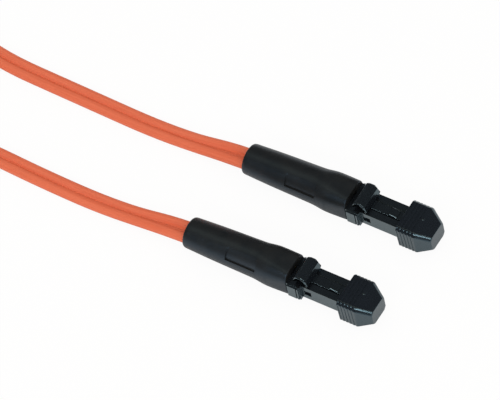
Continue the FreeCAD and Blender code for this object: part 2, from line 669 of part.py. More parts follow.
def dust_cap(end):
    """Push-on cap: ribbed skirt round the nose and a tapered end over the ferrule."""
    body = new_body("dust_cap", end)
    sketch = new_sketch(body, "YZ_Plane", CAP_BACK)
    rectangle(sketch, CAP_WIDTH, CAP_HEIGHT, up=CAP_MIDDLE, corner="cap_bevel", bevelled=True)
    pad(body, sketch, f"{CAP_TIP} - {CAP_BACK}")

    # All four sides slope in from the shoulder to the tip
    far = f"({CAP_WIDTH} + {CAP_HEIGHT})"
    slope = [(CAP_SHOULDER, f"{CAP_WIDTH} / 2"), (CAP_TIP, "tip_width / 2"),
             (CAP_TIP, far), (CAP_SHOULDER, far)]
    sketch = new_sketch(body, "XY_Plane", f"-{far}")
    outline(sketch, slope)
    outline(sketch, [(along, f"-{across}") for along, across in reversed(slope)])
    cut(body, sketch, f"3 * {far}")
    slope = [(CAP_SHOULDER, f"{CAP_HEIGHT} / 2"), (CAP_TIP, "tip_height / 2"),
             (CAP_TIP, far), (CAP_SHOULDER, far)]
    sketch = new_sketch(body, "XZ_Plane", f"-{far}")
    outline(sketch, [(along, f"{CAP_MIDDLE} + {up}") for along, up in slope])
    outline(sketch, [(along, f"{CAP_MIDDLE} - {up}") for along, up in reversed(slope)])
    cut(body, sketch, f"2 * {far}")

    # Grip grooves run all the way round the skirt
    sketch = new_sketch(body, "YZ_Plane", f"{CAP_BACK} + rib_first")
    rectangle(sketch, f"2 * {CAP_WIDTH}", f"2 * {CAP_HEIGHT}", up=CAP_MIDDLE)
    rectangle(sketch, f"{CAP_WIDTH} - 2 * rib_depth", f"{CAP_HEIGHT} - 2 * rib_depth",
              up=CAP_MIDDLE, corner="cap_bevel", bevelled=True)
    groove = cut(body, sketch, "rib_groove")
    ribs = body.newObject("PartDesign::LinearPattern", "Ribs")
    ribs.Originals = [groove]
    ribs.Direction = (sketch, ["N_Axis"])
    ribs.setExpression("Length", sized("(rib_count - 1) * rib_pitch"))
    ribs.setExpression("Occurrences", sized("rib_count"))
    body.Tip = ribs
    doc.recompute()

    floor, roof = f"({CAP_BOTTOM} + cap_floor)", f"({CAP_TOP} - cap_roof)"
    sketch = new_sketch(body, "YZ_Plane", CAP_BACK)
    rectangle(sketch, f"{NOSE_WIDTH} + 2 * cap_play", f"{roof} - {floor}", up=f"({roof} + {floor}) / 2")
    cut(body, sketch, "cap_cover + cap_end_gap")
    sketch = new_sketch(body, "YZ_Plane", NOSE_FRONT)
    rectangle(sketch, "ferrule_width + 2 * tip_play", "ferrule_height + 2 * tip_play", up=AXIS)
    cut(body, sketch, "cap_end_gap + tip_depth")

    # Moulding gate left on the roof where the taper starts
    sketch = new_sketch(body, "XY_Plane", f"{CAP_TOP} - rib_depth")
    polygon(sketch, "gate_sides", "gate_diameter", f"{CAP_SHOULDER} - gate_diameter / 2", "0")
    pad(body, sketch, "rib_depth + gate_height")


def cord_section(start):
    """Section of the flat cord: two jackets, drawn with flat sides, that meet in a web."""
    radius = number("jacket / 2")
    web = number("web_thick / 2")
    neck = radius - math.sqrt(radius ** 2 - web ** 2)
    lobe = [(neck, -web)]
    for angle in (-90, -30, 30, 90):
        turn = math.radians(angle)
        lobe.append((radius + radius * math.cos(turn), radius * math.sin(turn)))
    lobe.append((neck, web))
    spots = lobe + [(-across, -up) for across, up in lobe]
    return Part.makePolygon([start + FreeCAD.Vector(0, across, up) for across, up in spots + spots[:1]])


def rounded_path(points):
    """Straight runs joined by tangent arcs as large as the runs allow, and the arcs' radii."""
    edges, radii, start = [], [], points[0]
    for before, corner, after in zip(points, points[1:], points[2:]):
        back, ahead = before - corner, after - corner
        half_turn = (math.pi - back.getAngle(ahead)) / 2
        reach = 0.45 * min(back.Length, ahead.Length)
        radius = reach / math.tan(half_turn)
        back.normalize()
        ahead.normalize()
        inward = (back + ahead).normalize()
        enter, leave = corner + back * reach, corner + ahead * reach
        apex = corner + inward * (radius / math.cos(half_turn) - radius)
        edges.append(Part.LineSegment(start, enter).toShape())
        edges.append(Part.Arc(enter, apex, leave).toShape())
        radii.append(radius)
        start = leave
    edges.append(Part.LineSegment(start, points[-1]).toShape())
    return Part.Wire(edges), radii


def cord_lead(end):
    """Flat cord from inside a boot, down to the floor and on to the coil."""
    points = [FreeCAD.Vector(*point) for point in LEADS[end]]
    path, radii = rounded_path(points)
    section = cord_section(points[0])
    sweep = Part.BRepOffsetAPI.MakePipeShell(path)
    sweep.setBiNormalMode(FreeCAD.Vector(0, 0, 1))
    sweep.add(section)
    sweep.build()
    sweep.makeSolid()
    made = doc.addObject("Part::Feature", f"cord_lead_{end}")
    made.Shape = sweep.shape()
    made.Placement = FreeCAD.Placement()
    nodes.append(made)
    ideal = Part.Face(section).Area * path.Length
    print(f"cord_lead_{end}: radii", [round(radius, 1) for radius in radii],
          f"length {path.Length:.1f}, volume {made.Shape.Volume:.1f} of {ideal:.1f}")


def bound(kind, name, **sizes):
    """Part primitive whose sizes and place are bound to the sheet."""
    made = doc.addObject(f"Part::{kind}", name)
    for target, text in sizes.items():
        made.setExpression(target.replace("__", ".Base."), sized(text))
    return made


def boolean(kind, label, base, tool):
    """Cut or fuse of two shapes."""
    made = doc.addObject(f"Part::{kind}", label)
    made.Base = base
    made.Tool = tool
    return made


def cord_coil():
    """Outer shape of the coiled cord: a ring with flat sides, relieved underneath where the tie passes."""
    middle = {"Placement__x": "coil_x", "Placement__y": "coil_y"}
    outer = bound("Prism", "coil_outside", Polygon="coil_sides", Circumradius="coil_outer / 2",
                  Height="coil_height", **middle)
    inner = bound("Prism", "coil_inside", Polygon="coil_sides", Circumradius="coil_inner / 2",
                  Height="coil_height", **middle)
    ring = boolean("Cut", "coil_ring", outer, inner)
    relief = bound("Box", "coil_relief", Length=f"{TIE_SPAN} + tie_slack", Width="tie_width + 2 * tie_play",
                   Height="tie_thick + tie_play", Placement__x=TIE_BACK,
                   Placement__y="coil_y - tie_width / 2 - tie_play")
    nodes.append(boolean("Cut", "cord_coil", ring, relief))


def coil_tie():
    """Flat band round the coil's turns, on the side away from the plugs."""
    side = "coil_y - tie_width / 2"
    outside = bound("Box", "tie_outside", Length=f"{TIE_SPAN} + 2 * tie_thick", Width="tie_width",
                    Height="coil_height + tie_play + tie_thick",
                    Placement__x=f"{TIE_BACK} - tie_thick", Placement__y=side)
    inside = bound("Box", "tie_inside", Length=TIE_SPAN, Width="tie_width",
                   Height="coil_height + tie_play - tie_thick",
                   Placement__x=TIE_BACK, Placement__y=side, Placement__z="tie_thick")
    nodes.append(boolean("Cut", "coil_tie", outside, inside))


for end in ENDS:
    plug_housing(end)
    latch_lever(end)
    ferrule(end)
    pin_keeper(end)
    ferrule_spring(end)
    rear_body(end)
    aramid_yarn(end)
    crimp_sleeve(end)
    fibre_ribbon(end)
    strain_relief_boot(end)
    dust_cap(end)
    cord_lead(end)
cord_coil()
coil_tie()
doc.recompute()

# Nothing is written unless every feature worked and every sub-part is one sound solid
for item in doc.Objects:
    if "Invalid" in item.State or "Error" in item.State:
        raise RuntimeError(f"{item.Label} failed: {item.State}")
for node in nodes:
    if node.Shape.isNull() or not node.Shape.isValid() or len(node.Shape.Solids) != 1:
        raise RuntimeError(f"{node.Label} is not one sound solid")

os.makedirs("parts", exist_ok=True)
for node in nodes:
    node.Shape.exportStep(f"parts/{node.Label}.step")
    print(f"{node.Label}: {node.Shape.Volume:.1f} mm3")
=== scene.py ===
import math

import bpy
import numpy as np
from mathutils import Matrix, Vector


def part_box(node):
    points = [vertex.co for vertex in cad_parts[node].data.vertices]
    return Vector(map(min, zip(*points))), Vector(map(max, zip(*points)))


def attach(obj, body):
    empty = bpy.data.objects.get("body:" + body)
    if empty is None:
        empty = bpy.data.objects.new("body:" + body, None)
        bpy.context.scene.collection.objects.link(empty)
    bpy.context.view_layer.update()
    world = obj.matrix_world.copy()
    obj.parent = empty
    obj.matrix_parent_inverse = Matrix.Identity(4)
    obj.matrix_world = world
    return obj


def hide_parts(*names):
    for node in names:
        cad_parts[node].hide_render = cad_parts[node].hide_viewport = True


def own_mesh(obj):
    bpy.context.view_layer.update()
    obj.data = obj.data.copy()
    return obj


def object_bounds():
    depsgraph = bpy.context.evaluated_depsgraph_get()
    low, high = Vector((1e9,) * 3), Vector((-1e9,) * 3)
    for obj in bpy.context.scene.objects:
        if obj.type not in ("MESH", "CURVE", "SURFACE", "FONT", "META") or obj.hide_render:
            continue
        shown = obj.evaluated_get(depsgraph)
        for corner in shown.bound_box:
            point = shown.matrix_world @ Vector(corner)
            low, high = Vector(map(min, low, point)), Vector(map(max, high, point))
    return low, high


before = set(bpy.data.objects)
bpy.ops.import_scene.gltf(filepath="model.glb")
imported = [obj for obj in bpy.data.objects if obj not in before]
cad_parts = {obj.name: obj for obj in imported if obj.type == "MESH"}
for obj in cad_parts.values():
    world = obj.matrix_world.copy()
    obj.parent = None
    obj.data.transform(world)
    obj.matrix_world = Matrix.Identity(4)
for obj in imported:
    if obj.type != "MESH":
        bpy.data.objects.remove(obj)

CAD_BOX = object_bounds()
MM = 0.001
ENDS = ("a", "b")
ROOT = "cord_and_plugs"

# Cord: two round jackets joined by a web, and its stocked length between the two plugs' barrels
JACKET = 2.8 * MM
WEB = 1.3 * MM
LIP = 0.015 * MM
GROOVE_ANGLE = 0.25
GROOVE_POWER = 6
ARC_STEPS = 21
LINE_STEPS = 8

# Near the boots the jackets part, and the web between them thins and is slit
SPLIT = 1.0 * MM
SPLIT_WEB = 0.9 * MM
SLIT = 0.12 * MM
SLIT_DEPTH = 0.8
SPLIT_FROM = 26 * MM
SPLIT_TO = 46 * MM

# The cord's way from each plug to the coil
LEAD_A = [
    (-0.0026, 0.0139, 0.0048),
    (-0.0271, 0.0139, 0.0051),
    (-0.0521, 0.01264, 0.00145),
    (-0.0820, 0.01338, 0.00145),
    (-0.1127, 0.01379, 0.0021),
    (-0.1260, 0.0208, 0.00275),
]
LEAD_B = [
    (-0.0049, -0.0139, 0.0048),
    (-0.0294, -0.0139, 0.0050),
    (-0.0544, -0.01506, 0.00145),
    (-0.0780, -0.01474, 0.00145),
    (-0.1000, -0.01375, 0.0020),
    (-0.1172, -0.0191, 0.0076),
    (-0.1350, -0.0249, 0.0076),
]

# Coil of the spare length, wound from the outside in, and the tie round it
COIL_MIDDLE = (-0.152, -0.005)
COIL_FROM = math.radians(66)
COIL_TO = math.radians(1351)
COIL_STEPS = 86
COIL_START_RADIUS = 34.8 * MM
COIL_END_RADIUS = 24.2 * MM
COIL_END_TUCK = 1.0 * MM
COIL_HEIGHT = JACKET
COIL_END_CLIMB = 1.8 * MM
COIL_END_SPAN = math.radians(45)
TIE_ANGLE = math.pi
TIE_LIFT = 0.55 * MM
TIE_LIFT_SPAN = math.radians(14)
TIE_THICK = 0.5 * MM
TIE_CORNER = 0.9 * MM
TIE_CORNER_STEPS = 8
TIE_EDGE = 0.15 * MM
TIE_EDGE_STEPS = 4

# The cord lies flat by the plugs and on edge in the coil: where each quarter turn starts and ends along it
TWIST_A = (104 * MM, 142 * MM)
TWIST_B = (133 * MM, 172 * MM)

# Boot, along its plug from the collar's back face, which is the boot's front
PLUG_AXIS_Z = 4.8 * MM
BOOT_LENGTH = 33.45 * MM
BOOT_SIDES = 120
BOOT_ROWS = 72
BEND_STEPS = 7
LEAST_POWER = 32
OUT_OF_REACH = 1.0
FLARE_BACK = 6.4 * MM
NECK_BACK = 11.4 * MM
WAIST_BACK = 24.5 * MM
BOOT_RADIUS = 5.45 * MM
NECK_RADIUS = 5.2 * MM
WAIST_RADIUS = 4.85 * MM
TAIL_RADIUS = 4.42 * MM
TAIL_Z = 4.6 * MM
TAIL_ROUND = 0.9 * MM
TAIL_FACE = 1.3 * TAIL_ROUND
WAIST_BEND = 4 * MM
NECK_BEND = 3 * MM
FLARE_BEND = 3 * MM
MOUTH_RADIUS = 5.3 * MM
MOUTH_SIDE = 4.95 * MM
MOUTH_TOP = 10.4 * MM
MOUTH_POWER = 2.5
MOUTH_ROUND = 0.45 * MM
MOUTH_FACE = 0.8 * MM
POCKET_RADIUS = 3.6 * MM
POCKET_BACK = 8.3 * MM
BORE_HALF_WIDTH = 3.4 * MM
BORE_HALF_HEIGHT = 2.0 * MM
BORE_Z = 4.5 * MM
BORE_POWER = 5
PANEL_BACK = 19.4 * MM
PANEL_FRONT = 9.8 * MM
PANEL_DEPTH = 0.45 * MM
PANEL_LOW = math.radians(17.8)
PANEL_HIGH = math.radians(64.8)
PANEL_STEP = 0.05 * MM
PANEL_CLEAR = 0.3

# Spring and fibres behind the ferrule
WIRE_RADIUS = 0.15 * MM
WIRE_SIDES = 12
SPRING_TURNS = 3.5
SPRING_ROWS = 141

# Dust cap, along its plug from the cap's open end
CAP_BACK = 0.15 * MM
CAP_SHOULDER = 6.0 * MM
CAP_GATE_HEIGHT = 0.15 * MM
CAP_GATE_SUNK = 0.05 * MM
CAP_GATE_ROWS = 6
CAP_GATE_SIDES = 20
CAP_GATE_RADIUS = 0.55 * MM
CAP_GATE_BACK = 0.35 * MM
CAP_GATE_SIDE = 0.5 * MM
CAP_SWELL = 0.3 * MM
CAP_CORNER = 1.05 * MM
CAP_SLANT = 0.45 * MM
CAP_RIM_SOFT = 0.12 * MM
CAP_SHOULDER_SOFT = 0.35 * MM
TIP_HALF_WIDTH = 3.35 * MM
TIP_HALF_HEIGHT = 2.75 * MM
TIP_CORNER = 0.95 * MM
TIP_DROP = 0.7 * MM
TIP_SOFT = 0.25 * MM
TIP_FACE = 0.8 * MM
TIP_FACE_CORNER = 0.5 * MM
RIB_COUNT = 5
RIB_FIRST = 0.5 * MM
RIB_PITCH = 1.05 * MM
RIB_GROOVE = 0.45 * MM
RIB_DEPTH = 0.15 * MM
RIB_SOFT = 0.09 * MM
RIB_CORNER_LOSS = 1.3 * RIB_DEPTH
RIB_END = RIB_FIRST + (RIB_COUNT - 1) * RIB_PITCH + RIB_GROOVE
CAVITY_DEPTH = 5.7 * MM
CAVITY_HALF_WIDTH = 3.9 * MM
CAVITY_LOW = 2.5 * MM
CAVITY_HIGH = 8.37 * MM
CAVITY_CORNER = 0.3 * MM
TIP_BORE_DEPTH = 7.9 * MM
TIP_BORE_HALF_WIDTH = 2.5 * MM
TIP_BORE_HALF_HEIGHT = 1.525 * MM
TIP_BORE_CORNER = 0.25 * MM

# Latch lever: outlines in millimetres from its low rear corner, along the plug and upwards
ARM_OUTLINE = [
    (3.9, 0), (17.95, 0), (18.225, 0.1), (18.225, 0.45), (17.95, 0.55), (4.7, 0.55), (4.7, 1.35), (3.8, 1.35),
]
ARM_HALF_WIDTH = 1.4 * MM
ARM_SOFT = 0.2 * MM
ARM_EDGE = 0.06 * MM
THUMB_OUTLINE = [
    (3.81, 1.2), (4.7, 1.2), (4.15, 3.2), (3.05, 4.18), (1.8, 4.18), (0.95, 3.77), (0, 2.45),
    (0.27, 1.6), (1.2, 2.93), (2.0, 3.38), (3.0, 3.38), (3.2, 3.11),
]
THUMB_SOFT = 0.08 * MM
THUMB_SPREAD = 0.05 * MM
THUMB_EDGE = 0.36 * MM
CATCH_OUTLINE = [(10.15, 0.05), (12.7, 0.05), (12.7, 0.67), (10.15, 1.15)]
CATCH_HALF_WIDTH = 1.4 * MM
CATCH_SOFT = 0.2 * MM
CATCH_EDGE = 0.3 * MM
BAR_CORNER_STEPS = 4

# Two-facet bevel across a corner, with legs of 1, from the upright face to the level one
BEVEL = [(1, -0.3), (1, 0), (0.56, 0.56), (0, 1), (-0.3, 1)]
BEVEL_SOFT = 0.15
BEVEL_STEPS = 3

# Share of a line's side that a softened corner may take
REACH_LIMIT = 0.45

# Soft edges of the CAD nodes that show, and the angles that tell edges from smooth faces
HOUSING_EDGE = 0.16 * MM
REAR_BODY_EDGE = 0.12 * MM
EDGE_STEPS = 3
EDGE_ANGLE = math.radians(28)
FLAT_ANGLE = math.radians(1)
SHARP_ANGLE = math.radians(50)
WELD_REACH = 0.001 * MM

# The photograph's view, without shift: a long lens that looks down across the plugs
VIEW_POINT = (-21.24 * MM, 1.99 * MM, 5.0 * MM)
VIEW_AZIMUTH = math.radians(-48.93)
VIEW_ELEVATION = math.radians(54.93)
VIEW_ROLL = math.radians(-12.71)
VIEW_DISTANCE = 4.0
VIEW_LENS = 1064.5
VIEW_SENSOR = 36
VIEW_END = 10

# Light: how bright the floor and the sky are, for the camera, for gloss and for all else
FLOOR_REACH = 3.0
FLOOR_GAP = 0.02 * MM
FLOOR_SEEN = 0.94
FLOOR_MIRRORED = 0.2
SKY_SEEN = 1.0
SKY_LIGHT = 0.72
SKY_MIRRORED_LOW = 0.07
SKY_MIRRORED_HIGH = 0.05
SKY_MIRRORED_RISE = 0.5

# Two long lamps that lie along the plugs: place, width, power and colour
LAMP_LENGTH = 2.4
LAMP_LEAN = 0.09
LAMPS = {
    "top_lamp": ((0.1, -0.06, 1.0), 0.4, 2.9, "#ffe2ba"),
    "front_lamp": ((0.8, -1.0, 0.805), 0.14, 7.2, "#fffaf4"),
}


def linear(code):
    """Linear colour of an sRGB hex value, with alpha 1."""
    parts = np.array([int(code[i:i + 2], 16) for i in (1, 3, 5)]) / 255
    parts = np.where(parts <= 0.04045, parts / 12.92, ((parts + 0.055) / 1.055) ** 2.4)
    return (*parts.tolist(), 1.0)


def add(tree, kind, inputs=(), **settings):
    """Node of one kind: settings go on the node, and each input takes a value or another node's output."""
    node = tree.nodes.new(kind)
    for name, value in settings.items():
        setattr(node, name, value)
    for name, value in dict(inputs).items():
        if isinstance(value, bpy.types.NodeSocket):
            tree.links.new(value, node.inputs[name])
        else:
            node.inputs[name].default_value = value
    return node


def new_material(name):
    """Material with an empty node tree."""
    made = bpy.data.materials.new(name)
    made.use_nodes = True
    made.node_tree.nodes.clear()
    return made, made.node_tree


def noise(tree, place, size, detail, roughness=0.5):
    """Noise from 0 to 1 with spots of about one size."""
    inputs = {"Vector": place, "Scale": 1 / size, "Detail": detail, "Roughness": roughness}
    return add(tree, "ShaderNodeTexNoise", inputs).outputs["Fac"]


def two_tone(tree, value, dark, light, start=0.0, finish=1.0):
    """Colour that goes from one hex value to another while a value goes from start to finish."""
    ramp = add(tree, "ShaderNodeValToRGB", {"Fac": value})
    for stop, position, code in zip(ramp.color_ramp.elements, (start, finish), (dark, light)):
        stop.position = position
        stop.color = linear(code)
    return ramp.outputs["Color"]


def surface(tree, inputs):
    """Principled surface with these inputs, as the material's output."""
    shader = add(tree, "ShaderNodeBsdfPrincipled", inputs)
    add(tree, "ShaderNodeOutputMaterial", {"Surface": shader.outputs["BSDF"]})


def moulded_plug_plastic():
    """Glass-filled PBT, moulded: near-black, satin, with a fine tool texture and slight flow mottling."""
    made, tree = new_material("moulded_plug_plastic")
    place = add(tree, "ShaderNodeTexCoord").outputs["Object"]
    mottle = noise(tree, place, 1.6 * MM, 3.0)
    rough = add(tree, "ShaderNodeMapRange", {"Value": mottle, "From Min": 0.35, "From Max": 0.65,
                                             "To Min": 0.12, "To Max": 0.18})
    grain = noise(tree, place, 0.22 * MM, 2.0)
    bump = add(tree, "ShaderNodeBump", {"Height": grain, "Strength": 0.03, "Distance": 0.02 * MM})
    surface(tree, {
        "Base Color": linear("#14161a"), "Roughness": rough.outputs["Result"], "IOR": 1.72,
        "Specular IOR Level": 1.0, "Specular Tint": linear("#c8eeff"),
        "Normal": bump.outputs["Normal"]})
    return made


def moulded_cap_plastic():
    """Soft polyethylene, moulded: blue-black with a waxy satin face, a little uneven where it shrank."""
    made, tree = new_material("moulded_cap_plastic")
    place = add(tree, "ShaderNodeTexCoord").outputs["Object"]
    shrink = noise(tree, place, 2.2 * MM, 2.0)
    rough = add(tree, "ShaderNodeMapRange", {"Value": shrink, "From Min": 0.35, "From Max": 0.65,
                                             "To Min": 0.12, "To Max": 0.18})
    grain = noise(tree, place, 0.3 * MM, 2.0)
    bump = add(tree, "ShaderNodeBump", {"Height": grain, "Strength": 0.03, "Distance": 0.025 * MM})
    surface(tree, {
        "Base Color": linear("#191c22"), "Roughness": rough.outputs["Result"], "IOR": 1.55,
        "Specular IOR Level": 0.95, "Specular Tint": linear("#bceaff"),
        "Normal": bump.outputs["Normal"]})
    return made


def soft_boot_pvc():
    """Plasticised PVC, moulded: warm black, matt and finely grained, with rubbed specks that catch the light."""
    made, tree = new_material("soft_boot_pvc")
    place = add(tree, "ShaderNodeTexCoord").outputs["Object"]
    cloud = noise(tree, place, 3.5 * MM, 4.0)
    tint = two_tone(tree, cloud, "#1a1917", "#23211d", 0.3, 0.7)
    speck = noise(tree, place, 0.35 * MM, 3.0, 0.6)
    rough = add(tree, "ShaderNodeMapRange", {"Value": speck, "From Min": 0.3, "From Max": 0.7,
                                             "To Min": 0.48, "To Max": 0.36})
    bump = add(tree, "ShaderNodeBump", {"Height": speck, "Strength": 0.25, "Distance": 0.03 * MM})
    surface(tree, {
        "Base Color": tint, "Roughness": rough.outputs["Result"], "IOR": 1.52,
        "Specular IOR Level": 0.6, "Specular Tint": linear("#a4d4ff"),
        "Normal": bump.outputs["Normal"]})
    return made


def extruded_jacket_pvc():
    """Orange PVC, extruded: smooth and satin, with faint streaks drawn out along the cord."""
    made, tree = new_material("extruded_jacket_pvc")
    along = add(tree, "ShaderNodeUVMap", uv_map="along_cord").outputs["UV"]
    # The map counts metres along the cord, so the streaks are about 20 mm long and 0.4 mm wide
    stretch = add(tree, "ShaderNodeMapping", {"Vector": along, "Scale": (1 / (20 * MM), 1 / (0.4 * MM), 1.0)})
    streak = noise(tree, stretch.outputs["Vector"], 1.0, 3.0)
    tint = two_tone(tree, streak, "#dc643e", "#e4714d", 0.3, 0.7)
    place = add(tree, "ShaderNodeTexCoord").outputs["Object"]
    grain = noise(tree, place, 0.3 * MM, 2.0)
    rough = add(tree, "ShaderNodeMapRange", {"Value": streak, "To Min": 0.42, "To Max": 0.56})
    bump = add(tree, "ShaderNodeBump", {"Height": grain, "Strength": 0.12, "Distance": 0.02 * MM})
    surface(tree, {
        "Base Color": tint, "Roughness": rough.outputs["Result"], "IOR": 1.53,
        "Normal": bump.outputs["Normal"]})
    return made


def filled_ferrule_resin():
    """Silica-filled PPS, moulded and polished: dark grey with pale specks of filler."""
    made, tree = new_material("filled_ferrule_resin")
    place = add(tree, "ShaderNodeTexCoord").outputs["Object"]
    filler = noise(tree, place, 0.12 * MM, 3.0)
    tint = two_tone(tree, filler, "#3a3b3d", "#6a6b6c", 0.45, 0.75)
    rough = add(tree, "ShaderNodeMapRange", {"Value": filler, "To Min": 0.3, "To Max": 0.5})
    surface(tree, {"Base Color": tint, "Roughness": rough.outputs["Result"], "IOR": 1.6})
    return made


def drawn_spring_steel():
    """Stainless steel, drawn and stamped: bright, with faint lines along the plug."""
    made, tree = new_material("drawn_spring_steel")
    place = add(tree, "ShaderNodeTexCoord").outputs["Object"]
    scale = (1 / (2 * MM), 1 / (0.1 * MM), 1 / (0.1 * MM))
    stretch = add(tree, "ShaderNodeMapping", {"Vector": place, "Scale": scale})
    lines = noise(tree, stretch.outputs["Vector"], 1.0, 2.0)
    rough = add(tree, "ShaderNodeMapRange", {"Value": lines, "To Min": 0.18, "To Max": 0.38})
    surface(tree, {"Base Color": linear("#c9cacc"), "Metallic": 1.0, "Roughness": rough.outputs["Result"]})
    return made


def crimped_aluminium():
    """Aluminium tube, crimped: pale and dull, with pressed marks about half a millimetre across."""
    made, tree = new_material("crimped_aluminium")
    place = add(tree, "ShaderNodeTexCoord").outputs["Object"]
    marks = noise(tree, place, 0.5 * MM, 2.0)
    rough = add(tree, "ShaderNodeMapRange", {"Value": marks, "To Min": 0.3, "To Max": 0.5})
    bump = add(tree, "ShaderNodeBump", {"Height": marks, "Strength": 0.3, "Distance": 0.05 * MM})
    surface(tree, {
        "Base Color": linear("#d4d5d6"), "Metallic": 1.0, "Roughness": rough.outputs["Result"],
        "Normal": bump.outputs["Normal"]})
    return made


def laid_aramid_yarn():
    """Aramid yarn laid along the barrel: golden, silky, in fine strands."""
    made, tree = new_material("laid_aramid_yarn")
    place = add(tree, "ShaderNodeTexCoord").outputs["Object"]
    scale = (1 / (4 * MM), 1 / (0.12 * MM), 1 / (0.12 * MM))
    stretch = add(tree, "ShaderNodeMapping", {"Vector": place, "Scale": scale})
    strand = noise(tree, stretch.outputs["Vector"], 1.0, 3.0)
    tint = two_tone(tree, strand, "#b58e2f", "#e3c258", 0.35, 0.65)
    bump = add(tree, "ShaderNodeBump", {"Height": strand, "Strength": 0.5, "Distance": 0.05 * MM})
    surface(tree, {"Base Color": tint, "Roughness": 0.55, "Sheen Weight": 0.3, "Normal": bump.outputs["Normal"]})
    return made


def coated_fibres():
    """Acrylate-coated glass fibre: pale and glassy, a little clouded."""
    made, tree = new_material("coated_fibres")
    place = add(tree, "ShaderNodeTexCoord").outputs["Object"]
    tone = noise(tree, place, 0.25 * MM, 1.0)
    tint = two_tone(tree, tone, "#b9c4c8", "#e6ecee")
    surface(tree, {"Base Color": tint, "Roughness": 0.15, "IOR": 1.5})
    return made


def woven_tie_band():
    """Black nylon hook band: matt, with a fine rib across its weave."""
    made, tree = new_material("woven_tie_band")
    place = add(tree, "ShaderNodeTexCoord").outputs["Object"]
    weave = add(tree, "ShaderNodeTexWave", {"Vector": place, "Scale": 1 / (3.2 * MM), "Distortion": 0.6},
                wave_type="BANDS", bands_direction="Y")
    tint = two_tone(tree, weave.outputs["Fac"], "#161617", "#2b2b2d")
    bump = add(tree, "ShaderNodeBump", {"Height": weave.outputs["Fac"], "Strength": 0.4, "Distance": 0.08 * MM})
    surface(tree, {"Base Color": tint, "Roughness": 0.8, "Sheen Weight": 0.2, "Normal": bump.outputs["Normal"]})
    return made


def smooth_step(value, start, finish):
    """Cubic ease from 0 at start to 1 at finish."""
    t = np.clip((value - start) / (finish - start), 0, 1)
    return t * t * (3 - 2 * t)


def soften(path, reach, steps=5):
    """Line with its inner corners rounded: each becomes a quadratic curve that meets both sides at reach from it."""
    path = np.asarray(path, float)
    corner = path[1:-1]
    reach = np.broadcast_to(reach, len(corner))[:, None]
    ends = []
    for other in (path[:-2], path[2:]):
        side = other - corner
        length = np.linalg.norm(side, axis=1, keepdims=True)
        ends.append(corner + side / length * np.minimum(reach, REACH_LIMIT * length))
    t = np.linspace(0, 1, steps)[None, :, None]
    curve = (1 - t) ** 2 * ends[0][:, None] + 2 * t * (1 - t) * corner[:, None] + t ** 2 * ends[1][:, None]
    return np.vstack([path[:1], curve.reshape(-1, path.shape[1]), path[-1:]])


def left_of(path):
    """Unit normals of a closed line, on the left of its way."""
    ahead = np.roll(path, -1, axis=0) - np.roll(path, 1, axis=0)
    ahead /= np.linalg.norm(ahead, axis=1, keepdims=True)
    return np.column_stack([-ahead[:, 1], ahead[:, 0]])


def rings(station, side, centre, reach, turn):
    """Rings about a line along X, with points at reach from their centre, turned from the near side upwards."""
    return np.dstack(np.broadcast_arrays(station[:, None], side - reach * np.cos(turn), centre + reach * np.sin(turn)))


def shell(grid, closed=False):
    """Points and faces of a tube: rings of points, row after row; it closes on itself or gets a face at each end."""
    rows, columns = grid.shape[:2]
    index = np.arange(rows * columns).reshape(rows, columns)
    near = index if closed else index[:-1]
    far = np.roll(index, -1, axis=0) if closed else index[1:]
    quads = np.stack([near, far, np.roll(far, -1, axis=1), np.roll(near, -1, axis=1)], axis=-1).reshape(-1, 4)
    ends = [] if closed else [index[0].tolist(), index[-1, ::-1].tolist()]
    return grid.reshape(-1, 3), quads.tolist() + ends


def new_piece(name, shells, material, slot, body, *nodes):
    """Mesh of one or more shells, smooth but for its sharp edges, that rides on a body and stands for CAD nodes."""
    points, faces, count = [], [], 0
    for spots, sides in shells:
        faces += [[count + corner for corner in side] for side in sides]
        points.append(spots)
        count += len(spots)
    mesh = bpy.data.meshes.new(name)
    mesh.from_pydata(np.vstack(points).tolist(), [], faces)
    mesh.polygons.foreach_set("use_smooth", np.ones(len(faces), bool))
    mesh.set_sharp_from_angle(angle=SHARP_ANGLE)
    mesh.materials.append(material)
    made = bpy.data.objects.new(name, mesh)
    bpy.context.scene.collection.objects.link(made)
    made.modifiers.new("even_shading", "WEIGHTED_NORMAL").keep_sharp = True
    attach(made, body)
    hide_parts(*nodes)
    return made


def round_corner(steps):
    """Quarter arc of radius 1, as complex numbers."""
    return np.exp(0.5j * math.pi * np.linspace(0, 1, steps))


def bevel():
    """The two-facet bevel with its corners softened, and one point on the face at each end of it."""
    return soften(BEVEL, BEVEL_SOFT, BEVEL_STEPS)


def bevel_corner():
    """The bevel alone, as complex numbers."""
    return bevel()[1:-1] @ (1, 1j)


def box_ring(half_width, half_height, corner, middle, shape):
    """Upright rectangles with one shape at all four corners, drawn from the near side upwards."""
    turned = (1j ** np.arange(4)[:, None] * shape).ravel()
    side = np.repeat([-1.0, 1.0, 1.0, -1.0], len(shape))
    up = np.repeat([1.0, 1.0, -1.0, -1.0], len(shape))
    across = side * (half_width - corner)[:, None] - corner[:, None] * turned.real
    height = middle[:, None] + up * (half_height - corner)[:, None] + corner[:, None] * turned.imag
    return across, height


def shorten(made):
    """Gives a piece its own copy of its mesh."""
    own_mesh(made)


